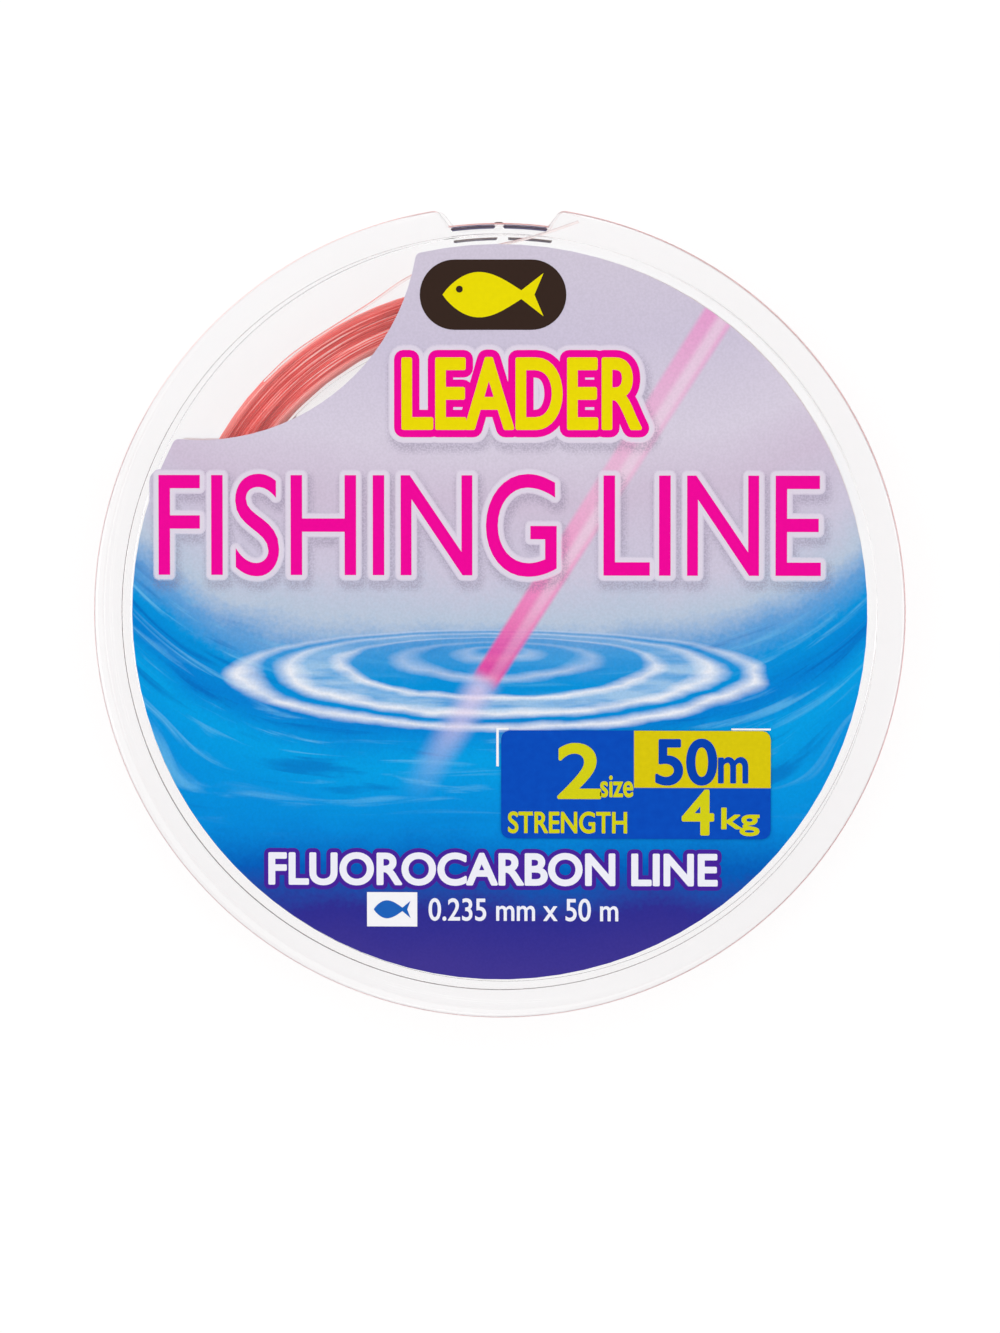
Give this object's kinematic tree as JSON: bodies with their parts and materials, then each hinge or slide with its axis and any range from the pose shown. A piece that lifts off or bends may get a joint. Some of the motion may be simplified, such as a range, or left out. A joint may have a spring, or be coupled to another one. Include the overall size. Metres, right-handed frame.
{
  "type": "fishing line spool",
  "caption": "Flat clear plastic spool with thin notched flanges on a hollow drum, wound with coral pink fishing line, with a round printed label on each face.",
  "frame": {"origin": "centre of the bottom face: the spool's axis, at the rear rim's outer face", "axes": "+Z along the spool's axis, from the rear face to the front label's face; +Y from the axis to the notch in the rims; +X to the right when the front label is read upright"},
  "size_m": [0.066, 0.0656, 0.0082],
  "materials": {
    "clear_plastic": "clear moulded polystyrene, glossy",
    "clear_tape": "thin clear adhesive tape",
    "line": "translucent coral pink monofilament, glossy",
    "rear_label": "coated paper, printed, satin",
    "front_label": "coated film label, printed, satin",
    "sticker": "thin printed sticker, matt"
  },
  "bodies": {
    "root": {"rear_half": "clear_plastic", "front_half": "clear_plastic", "start_tape": "clear_tape", "line_coil": "line", "line_tail": "line", "rear_label": "rear_label", "front_label": "front_label", "spec_sticker": "sticker"}
  },
  "joints": []
}
